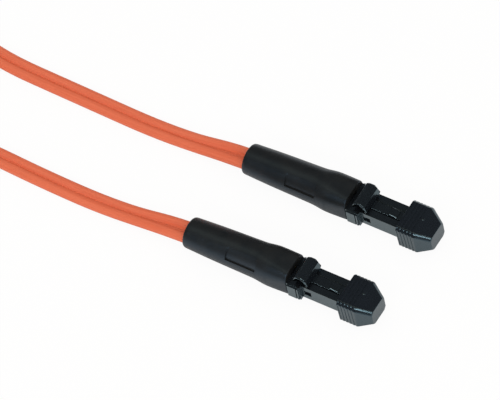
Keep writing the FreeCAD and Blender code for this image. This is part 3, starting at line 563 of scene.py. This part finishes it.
def ferrule_spring(end, material):
    """Coil spring: round wire of radius r swept along a helix of radius R about the plug's axis.

    With t in turns and p round the wire, x = start + climb t + r cos p, and y and z lie R + r sin p from the axis, at
    the angle 2 pi t.
    """
    low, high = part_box(f"ferrule_spring_{end}")
    turn = np.linspace(0, SPRING_TURNS, SPRING_ROWS)[:, None]
    wire = np.linspace(0, math.tau, WIRE_SIDES, endpoint=False)
    climb = (high.x - low.x - 2 * WIRE_RADIUS) / SPRING_TURNS
    reach = (high.z - low.z) / 2 - WIRE_RADIUS + WIRE_RADIUS * np.sin(wire)
    grid = np.stack([low.x + WIRE_RADIUS + climb * turn + WIRE_RADIUS * np.cos(wire),
                     (low.y + high.y) / 2 + reach * np.cos(math.tau * turn),
                     (low.z + high.z) / 2 + reach * np.sin(math.tau * turn)], axis=-1)
    made = new_piece(f"spring_wire_{end}", [shell(grid)], material, "bright_steel", ROOT, f"ferrule_spring_{end}")
    shorten(made)


def fibre_ribbon(end, material):
    """Two coated fibres side by side: straight elliptical tubes, y = middle + w cos p and z = axis + h sin p."""
    low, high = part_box(f"fibre_ribbon_{end}")
    ring = np.linspace(0, math.tau, WIRE_SIDES, endpoint=False)
    half = (high.y - low.y) / 4
    tubes = []
    for middle in (low.y + half, high.y - half):
        section = np.stack([0 * ring, middle + half * np.cos(ring),
                            (low.z + high.z) / 2 + (high.z - low.z) / 2 * np.sin(ring)], axis=-1)
        tubes.append(shell(section + np.array([low.x, high.x])[:, None, None] * (1, 0, 0)))
    made = new_piece(f"fibre_pair_{end}", tubes, material, "fibre_coating", ROOT, f"fibre_ribbon_{end}")
    shorten(made)


def strain_relief_boot(end, material):
    """Long soft boot as one closed skin.

    Rings are drawn about a line that leaves the underside level. Outside, they are superellipses whose radius follows
    a softened profile and whose power grows from 2 to MOUTH_POWER over the flare. The reach is the smooth least of
    that, the flats beside the collar and the flat above it: with n as LEAST_POWER, sum(r ** -n) ** (-1 / n). The panel
    sinks in evenly from its upper edge to its lower one. Inside, the rings are the round pocket and the flat bore.
    """
    low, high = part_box(f"strain_relief_boot_{end}")
    front, side = high.x, (low.y + high.y) / 2
    step = np.array([-0.5, 0.5]) * PANEL_STEP
    turn = np.arange(BOOT_SIDES) * math.tau / BOOT_SIDES
    edge = (np.array([PANEL_LOW, PANEL_HIGH])[:, None] + step / BOOT_RADIUS).ravel()
    turn = turn[np.all(np.abs(turn[:, None] - edge) > PANEL_CLEAR * math.tau / BOOT_SIDES, axis=1)]
    turn = np.sort(np.append(turn, edge))

    outline = [(-BOOT_LENGTH, TAIL_RADIUS - TAIL_FACE), (-BOOT_LENGTH, TAIL_RADIUS), (-WAIST_BACK, WAIST_RADIUS),
               (-NECK_BACK, NECK_RADIUS), (-FLARE_BACK, BOOT_RADIUS), (0, MOUTH_RADIUS),
               (0, MOUTH_RADIUS - MOUTH_FACE)]
    profile = soften(outline, [TAIL_ROUND, WAIST_BEND, NECK_BEND, FLARE_BEND, MOUTH_ROUND], BEND_STEPS)
    back = profile[profile[:, 0] <= -BOOT_LENGTH + TAIL_ROUND]
    mouth = profile[profile[:, 0] >= -MOUTH_ROUND]
    ends = (np.array([-PANEL_BACK, -PANEL_FRONT])[:, None] + step).ravel()
    spot = np.linspace(-BOOT_LENGTH + TAIL_ROUND, -MOUTH_ROUND, BOOT_ROWS)[1:-1]
    spot = spot[np.all(np.abs(spot[:, None] - ends) > 2 * PANEL_STEP, axis=1)]
    spot = np.sort(np.append(spot, ends))
    straight = np.column_stack([spot, np.interp(spot, profile[:, 0], profile[:, 1])])
    station, radius = np.vstack([back, straight, mouth]).T

    # Towards the collar the sides and the top flatten
    share = np.clip(1 + station / FLARE_BACK, 0, 1)
    rise = (BOOT_RADIUS - TAIL_Z) / (BOOT_LENGTH - FLARE_BACK)
    centre = BOOT_RADIUS + (station + FLARE_BACK) * rise
    flat_side = np.where(share > 0, BOOT_RADIUS + share * (MOUTH_SIDE - BOOT_RADIUS), OUT_OF_REACH)
    flat_top = 2 * BOOT_RADIUS + share * (MOUTH_TOP - 2 * BOOT_RADIUS) - centre
    flat_top = np.where(share > 0, flat_top, OUT_OF_REACH)
    power = 2 + (MOUTH_POWER - 2) * smooth_step(station, -NECK_BACK, -FLARE_BACK)[:, None]
    bulge = (np.abs(np.cos(turn)) ** power + np.abs(np.sin(turn)) ** power) ** (1 / power)
    limit = (bulge / radius[:, None]) ** LEAST_POWER
    limit = limit + (np.abs(np.cos(turn)) / flat_side[:, None]) ** LEAST_POWER
    limit = limit + (np.clip(np.sin(turn), 0, 1) / flat_top[:, None]) ** LEAST_POWER
    reach = limit ** (-1 / LEAST_POWER)
    sunk = ((station > -PANEL_BACK) & (station < -PANEL_FRONT))[:, None] & (turn > PANEL_LOW) & (turn < PANEL_HIGH)
    depth = PANEL_DEPTH * np.clip((PANEL_HIGH - turn) / (PANEL_HIGH - PANEL_LOW), 0, 1)
    reach = reach - depth * sunk
    outside = rings(front + station, side, centre[:, None], reach, turn)

    pocket = rings(front + np.array([0, -POCKET_BACK]), side, PLUG_AXIS_Z, POCKET_RADIUS, turn)
    wide = np.abs(np.cos(turn)) / BORE_HALF_WIDTH
    tall = np.abs(np.sin(turn)) / BORE_HALF_HEIGHT
    bore_reach = (wide ** BORE_POWER + tall ** BORE_POWER) ** (-1 / BORE_POWER)
    bore = rings(front + np.array([-POCKET_BACK, -BOOT_LENGTH]), side, BORE_Z, bore_reach, turn)
    grid = np.concatenate([outside, pocket, bore])
    new_piece(f"boot_{end}", [shell(grid, closed=True)], material, "boot_rubber", ROOT, f"strain_relief_boot_{end}")


def dust_cap(end, material):
    """Push-on cap as one closed skin, with a small moulding gate on its roof.

    Rows are bevelled rectangles along the plug, from the bottom of the tip's bore back to the open end, then forward
    over the ribs and the taper. The open end and the ribs lean with height. The gate is a low dome, a quarter ellipse
    turned about an upright line.
    """
    low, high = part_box(f"dust_cap_{end}")
    side = (low.y + high.y) / 2
    half_width = (high.y - low.y) / 2 + CAP_SWELL
    roof = high.z - CAP_GATE_HEIGHT + CAP_SWELL
    middle = (high.z - CAP_GATE_HEIGHT + low.z) / 2
    half_height = roof - middle
    length = high.x - low.x
    cavity = (CAVITY_HALF_WIDTH, (CAVITY_HIGH - CAVITY_LOW) / 2, CAVITY_CORNER, (CAVITY_HIGH + CAVITY_LOW) / 2)
    bore = (TIP_BORE_HALF_WIDTH, TIP_BORE_HALF_HEIGHT, TIP_BORE_CORNER, PLUG_AXIS_Z)
    skirt = (half_width, half_height, CAP_CORNER, middle)
    # Shorter bevels make each groove shallower at the corners
    groove = (half_width - RIB_DEPTH, half_height - RIB_DEPTH, CAP_CORNER - RIB_CORNER_LOSS, middle)
    tip = (TIP_HALF_WIDTH, TIP_HALF_HEIGHT, TIP_CORNER, middle - TIP_DROP)
    core = (TIP_HALF_WIDTH - TIP_FACE, TIP_HALF_HEIGHT - TIP_FACE, TIP_FACE_CORNER, middle - TIP_DROP)

    rows = [(TIP_BORE_DEPTH, *bore), (CAVITY_DEPTH, *bore), (CAVITY_DEPTH, *cavity), (CAP_BACK, *cavity)]
    rim = len(rows) - 1
    rows.append((CAP_BACK, *skirt))
    for rib in range(RIB_COUNT):
        start = RIB_FIRST + rib * RIB_PITCH
        rows += [(start, *skirt), (start, *groove), (start + RIB_GROOVE, *groove), (start + RIB_GROOVE, *skirt)]
    rows += [(CAP_SHOULDER, *skirt), (length, *tip), (length, *core)]
    reach = np.full(len(rows) - 2, RIB_SOFT)
    reach[rim] = CAP_RIM_SOFT
    reach[-2:] = (CAP_SHOULDER_SOFT, TIP_SOFT)
    station, *ring = soften(rows, reach).T
    across, height = box_ring(*ring, bevel_corner())
    upright = smooth_step(station, RIB_END, CAP_SHOULDER)[:, None]
    lean = CAP_SLANT * (roof - height) / (2 * half_height) * (1 - upright)
    grid = np.dstack([low.x + station[:, None] + lean, side + across, height])

    lift = np.linspace(0, math.pi / 2, CAP_GATE_ROWS)[:-1]
    turn = -np.arange(CAP_GATE_SIDES) * math.tau / CAP_GATE_SIDES
    spread = CAP_GATE_RADIUS * np.cos(lift)[:, None]
    gate_z = roof - CAP_GATE_SUNK + (CAP_GATE_HEIGHT + CAP_GATE_SUNK) * np.sin(lift)[:, None]
    gate_x = low.x + CAP_SHOULDER - CAP_GATE_BACK
    gate = np.dstack([gate_x + spread * np.cos(turn), side + CAP_GATE_SIDE + spread * np.sin(turn), gate_z + 0 * turn])
    new_piece(f"cap_{end}_moulding", [shell(grid), shell(gate)], material, "cap_plastic", f"cap_{end}",
              f"dust_cap_{end}")


def moulded_bar(outline, reach, edge, half_width, corner, side):
    """Bar with an upright outline, drawn in X and Z from a corner point, and bevelled edges along both of its sides.

    Corners of the outline are softened by reach. Towards each side the outline stands in from full size along a bevel
    with legs of edge and softened ends.
    """
    outline = np.asarray(outline) * MM
    whole = soften(np.vstack([outline[-1:], outline, outline[:1]]), reach, BAR_CORNER_STEPS)[1:-1]
    rim = edge * (1 - bevel()[-2::-1])
    spot = whole + left_of(whole) * np.append(rim[:, 0], rim[::-1, 0])[:, None, None]
    across = np.append(rim[:, 1] - half_width, half_width - rim[::-1, 1])
    return shell(np.dstack([corner[0] + spot[..., 0], side + across[:, None] + 0 * spot[..., 0],
                            corner[1] + spot[..., 1]]))


def latch_lever(end, material):
    """Springy arm with a ramped catch and a bent thumb plate: three moulded bars, drawn from the lever's low rear."""
    low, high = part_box(f"latch_lever_{end}")
    side = (low.y + high.y) / 2
    corner = (low.x, low.z)
    arm = moulded_bar(ARM_OUTLINE, ARM_SOFT, ARM_EDGE, ARM_HALF_WIDTH, corner, side)
    thumb_half_width = (high.y - low.y) / 2 + THUMB_SPREAD
    plate = moulded_bar(THUMB_OUTLINE, THUMB_SOFT, THUMB_EDGE, thumb_half_width, corner, side)
    catch = moulded_bar(CATCH_OUTLINE, CATCH_SOFT, CATCH_EDGE, CATCH_HALF_WIDTH, corner, side)
    new_piece(f"lever_{end}", [arm, plate, catch], material, "plug_plastic", f"latch_{end}", f"latch_lever_{end}")


def coil_points():
    """Control points of the coil: a flat spiral from the outside in, lifted over the tie, its last part climbing.

    A quadratic spline runs inside its control points by a share that depends on their step, so they stand out by it.
    """
    turn = np.linspace(COIL_FROM, COIL_TO, COIL_STEPS + 1)
    inside = 0.75 + 0.25 * math.cos(turn[1] - turn[0])
    share = (turn - COIL_FROM) / (COIL_TO - COIL_FROM)
    last = smooth_step(turn, COIL_TO - COIL_END_SPAN, COIL_TO)
    radius = COIL_START_RADIUS + share * (COIL_END_RADIUS - COIL_START_RADIUS) - COIL_END_TUCK * last
    off_tie = (turn - TIE_ANGLE + math.pi) % math.tau - math.pi
    height = COIL_HEIGHT + TIE_LIFT * np.exp(-(off_tie / TIE_LIFT_SPAN) ** 2) + COIL_END_CLIMB * last
    return np.column_stack([COIL_MIDDLE[0] + radius / inside * np.cos(turn),
                            COIL_MIDDLE[1] + radius / inside * np.sin(turn), height])


def cord_line():
    """Points along the cord's smooth line, from plug a through the coil to plug b."""
    control = np.vstack([LEAD_A, coil_points(), LEAD_B[::-1]])
    curve = bpy.data.curves.new("cord_line", "CURVE")
    curve.dimensions = "3D"
    curve.resolution_u = LINE_STEPS
    spline = curve.splines.new("NURBS")
    spline.points.add(len(control) - 1)
    spline.points.foreach_set("co", np.column_stack([control, np.ones(len(control))]).ravel())
    spline.order_u = 3
    spline.use_endpoint_u = True
    holder = bpy.data.objects.new("cord_line", curve)
    bpy.context.scene.collection.objects.link(holder)
    mesh = bpy.data.meshes.new_from_object(holder)
    line = np.empty(len(mesh.vertices) * 3)
    mesh.vertices.foreach_get("co", line)
    bpy.data.objects.remove(holder)
    return line.reshape(-1, 3)


def cord_section(split):
    """Outlines of two round jackets joined by a web, clockwise, for shares of their split from 0 to 1.

    Each jacket is one arc from groove to groove. On the inner half its height is the sum of the arc's own and the web's
    by their GROOVE_POWER, which rounds the groove out. The split moves the jackets apart and thins the web, with a fine
    slit in it.
    """
    split = np.asarray(split)[:, None]
    radius = JACKET / 2
    web = (WEB + split * (SPLIT_WEB - WEB)) / 2
    turn = np.linspace(math.pi - GROOVE_ANGLE, GROOVE_ANGLE - math.pi, ARC_STEPS)
    own = radius * np.abs(np.sin(turn))
    filled = (own ** GROOVE_POWER + web ** GROOVE_POWER) ** (1 / GROOVE_POWER)
    filled = filled * radius / (radius ** GROOVE_POWER + web ** GROOVE_POWER) ** (1 / GROOVE_POWER)
    height = np.where(np.cos(turn) < 0, filled, own) * np.sign(turn)
    across = radius + radius * np.cos(turn) + split * SPLIT / 2
    lip = LIP + split * SLIT / 2
    right = np.dstack([np.hstack([lip, across, lip]), np.hstack([height[:, :1], height, height[:, -1:]])])
    floor = np.dstack([0 * split, height[:, :1] * (1 - SLIT_DEPTH * split)])
    return np.concatenate([floor, right, -floor, -right], axis=1)


def flat_cord(material):
    """Flat cord: its two-lobe section carried along its line, flat by the plugs and on edge in the coil."""
    line = cord_line()
    step = np.linalg.norm(np.diff(line, axis=0), axis=1)
    run = np.append(0, np.cumsum(step))
    total = run[-1]
    ahead = np.gradient(line, run, axis=0)
    ahead /= np.linalg.norm(ahead, axis=1, keepdims=True)
    level = np.cross((0, 0, 1), ahead)
    level /= np.linalg.norm(level, axis=1, keepdims=True)
    upright = np.cross(ahead, level)
    twist = math.pi / 2 * (smooth_step(run, *TWIST_A) - smooth_step(-(total - run), -TWIST_B[1], -TWIST_B[0]))
    wide = np.cos(twist)[:, None] * level + np.sin(twist)[:, None] * upright
    thin = np.cos(twist)[:, None] * upright - np.sin(twist)[:, None] * level
    from_end = np.minimum(run, total - run)
    section = cord_section(1 - smooth_step(from_end, SPLIT_FROM, SPLIT_TO))
    grid = line[:, None] + section[..., :1] * wide[:, None] + section[..., 1:] * thin[:, None]
    made = new_piece("flat_cord", [shell(grid)], material, "cord_jacket", ROOT,
                     "cord_lead_a", "cord_lead_b", "cord_coil")

    # The map holds metres along the cord and metres round its section
    girth = np.append(0, np.cumsum(np.linalg.norm(np.diff(section[0], axis=0), axis=1)))
    place = np.dstack(np.broadcast_arrays(run[:, None], girth[None])).reshape(-1, 2)
    corner = np.empty(len(made.data.loops), int)
    made.data.loops.foreach_get("vertex_index", corner)
    made.data.uv_layers.new(name="along_cord").data.foreach_set("uv", place[corner].ravel())


def coil_tie(material):
    """Band round the coil's turns: a rounded strip section carried round a rounded upright rectangle."""
    low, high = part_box("coil_tie")
    half = np.array([(high.x - low.x - TIE_THICK) / 2, (high.z - low.z - TIE_THICK) / 2])
    across, height = box_ring(half[:1], half[1:], np.array([TIE_CORNER]), np.array([(low.z + high.z) / 2]),
                              round_corner(TIE_CORNER_STEPS))
    path = np.column_stack([(low.x + high.x) / 2 + across[0], height[0]])
    width, depth = box_ring(np.array([(high.y - low.y) / 2]), np.array([TIE_THICK / 2]), np.array([TIE_EDGE]),
                            np.zeros(1), round_corner(TIE_EDGE_STEPS))
    spot = path[:, None] + left_of(path)[:, None] * depth[0][None, :, None]
    grid = np.dstack([spot[..., 0], (low.y + high.y) / 2 + width[0] + 0 * spot[..., 0], spot[..., 1]])
    new_piece("tie_band", [shell(grid, closed=True)], material, "tie_plastic", ROOT, "coil_tie")


def dress_node(name, material, edge=None):
    """Finish on a CAD node, and soft edges where their width is given."""
    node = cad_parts[name]
    node.data.materials.clear()
    node.data.materials.append(material)
    if edge is None:
        return
    node.modifiers.new("join_corners", "WELD").merge_threshold = WELD_REACH
    flat = node.modifiers.new("whole_faces", "DECIMATE")
    flat.decimate_type = "DISSOLVE"
    flat.angle_limit = FLAT_ANGLE
    soft = node.modifiers.new("soft_edges", "BEVEL")
    soft.width = edge
    soft.segments = EDGE_STEPS
    soft.limit_method = "ANGLE"
    soft.angle_limit = EDGE_ANGLE
    node.modifiers.new("even_shading", "WEIGHTED_NORMAL")


def mirrored(tree, ray):
    """1 for a ray that has left a glossy or clear face, otherwise 0."""
    return add(tree, "ShaderNodeMath", {0: ray.outputs["Is Glossy Ray"], 1: ray.outputs["Is Transmission Ray"]},
               operation="MAXIMUM").outputs[0]


def white_floor():
    """Matt floor that glows white for the camera, and a little for gloss."""
    made, tree = new_material("white_floor")
    ray = add(tree, "ShaderNodeLightPath")
    gloss = mirrored(tree, ray)
    seen = add(tree, "ShaderNodeMath", {0: ray.outputs["Is Camera Ray"], 1: FLOOR_SEEN}, operation="MULTIPLY")
    share = add(tree, "ShaderNodeMath", {0: gloss, 1: FLOOR_MIRRORED, 2: seen.outputs[0]}, operation="MULTIPLY_ADD")
    matt = add(tree, "ShaderNodeBsdfDiffuse", {"Color": linear("#f4f4f4")})
    glow = add(tree, "ShaderNodeEmission", {"Color": (1, 1, 1, 1), "Strength": 1.0})
    mixed = add(tree, "ShaderNodeMixShader", {0: share.outputs[0], 1: matt.outputs[0], 2: glow.outputs[0]})
    add(tree, "ShaderNodeOutputMaterial", {"Surface": mixed.outputs[0]})
    mesh = bpy.data.meshes.new("floor")
    level = CAD_BOX[0].z - FLOOR_GAP
    corners = [(x * FLOOR_REACH, y * FLOOR_REACH, level) for x, y in ((-1, -1), (1, -1), (1, 1), (-1, 1))]
    mesh.from_pydata(corners, [], [(0, 1, 2, 3)])
    mesh.materials.append(made)
    floor = bpy.data.objects.new("floor", mesh)
    bpy.context.scene.collection.objects.link(floor)


def even_sky():
    """Sky that lights evenly, is white for the camera, and is dark for gloss, a little less so near the ground."""
    world = bpy.data.worlds.new("studio")
    bpy.context.scene.world = world
    world.use_nodes = True
    tree = world.node_tree
    tree.nodes.clear()
    ray = add(tree, "ShaderNodeLightPath")
    way = add(tree, "ShaderNodeSeparateXYZ", {"Vector": add(tree, "ShaderNodeTexCoord").outputs["Generated"]})
    overhead = add(tree, "ShaderNodeMapRange", {
        "Value": way.outputs["Z"], "From Min": 0.0, "From Max": SKY_MIRRORED_RISE,
        "To Min": SKY_MIRRORED_LOW, "To Max": SKY_MIRRORED_HIGH}, interpolation_type="SMOOTHSTEP")
    plain = add(tree, "ShaderNodeBackground", {"Color": (1, 1, 1, 1), "Strength": SKY_LIGHT})
    mirror = add(tree, "ShaderNodeBackground", {"Color": (1, 1, 1, 1), "Strength": overhead.outputs["Result"]})
    white = add(tree, "ShaderNodeBackground", {"Color": (1, 1, 1, 1), "Strength": SKY_SEEN})
    lit = add(tree, "ShaderNodeMixShader", {0: mirrored(tree, ray), 1: plain.outputs[0], 2: mirror.outputs[0]})
    lit = add(tree, "ShaderNodeMixShader", {0: ray.outputs["Is Camera Ray"], 1: lit.outputs[0], 2: white.outputs[0]})
    add(tree, "ShaderNodeOutputWorld", {"Surface": lit.outputs[0]})


def long_lamps():
    """Lamps that lie along X, face the X axis and lean a little to one end."""
    for name, (place, width, energy, colour) in LAMPS.items():
        lamp = bpy.data.lights.new(name, "AREA")
        lamp.shape = "RECTANGLE"
        lamp.size = LAMP_LENGTH
        lamp.size_y = width
        lamp.energy = energy
        lamp.color = linear(colour)[:3]
        holder = bpy.data.objects.new(name, lamp)
        holder.location = place
        holder.rotation_euler = (math.atan2(-place[1], place[2]), LAMP_LEAN, 0)
        bpy.context.scene.collection.objects.link(holder)


def photo_camera():
    """Camera on the photograph's line of sight, turned about it by the view's roll."""
    back = Vector((math.cos(VIEW_ELEVATION) * math.cos(VIEW_AZIMUTH),
                   math.cos(VIEW_ELEVATION) * math.sin(VIEW_AZIMUTH), math.sin(VIEW_ELEVATION)))
    level = Vector((-math.sin(VIEW_AZIMUTH), math.cos(VIEW_AZIMUTH), 0))
    upright = back.cross(level)
    right = level * math.cos(VIEW_ROLL) + upright * math.sin(VIEW_ROLL)
    up = back.cross(right)
    lens = bpy.data.cameras.new("photo_camera")
    lens.lens = VIEW_LENS
    lens.sensor_width = VIEW_SENSOR
    lens.clip_end = VIEW_END
    made = bpy.data.objects.new("photo_camera", lens)
    turn = Matrix((right, up, back)).transposed().to_4x4()
    made.matrix_world = Matrix.Translation(Vector(VIEW_POINT) + back * VIEW_DISTANCE) @ turn
    bpy.context.scene.collection.objects.link(made)
    bpy.context.scene.camera = made


photo_camera()
flat_cord(extruded_jacket_pvc())
coil_tie(woven_tie_band())
boot_finish, cap_finish = soft_boot_pvc(), moulded_cap_plastic()
plug_finish, ferrule_finish = moulded_plug_plastic(), filled_ferrule_resin()
steel, aluminium = drawn_spring_steel(), crimped_aluminium()
yarn, fibres = laid_aramid_yarn(), coated_fibres()
for end in ENDS:
    strain_relief_boot(end, boot_finish)
    dust_cap(end, cap_finish)
    latch_lever(end, plug_finish)
    dress_node(f"plug_housing_{end}", plug_finish, HOUSING_EDGE)
    dress_node(f"rear_body_{end}", plug_finish, REAR_BODY_EDGE)
    dress_node(f"ferrule_{end}", ferrule_finish)
    dress_node(f"pin_keeper_{end}", steel)
    ferrule_spring(end, steel)
    dress_node(f"crimp_sleeve_{end}", aluminium)
    dress_node(f"aramid_yarn_{end}", yarn)
    fibre_ribbon(end, fibres)
white_floor()
even_sky()
long_lamps()
bpy.context.scene.view_settings.view_transform = "Standard"
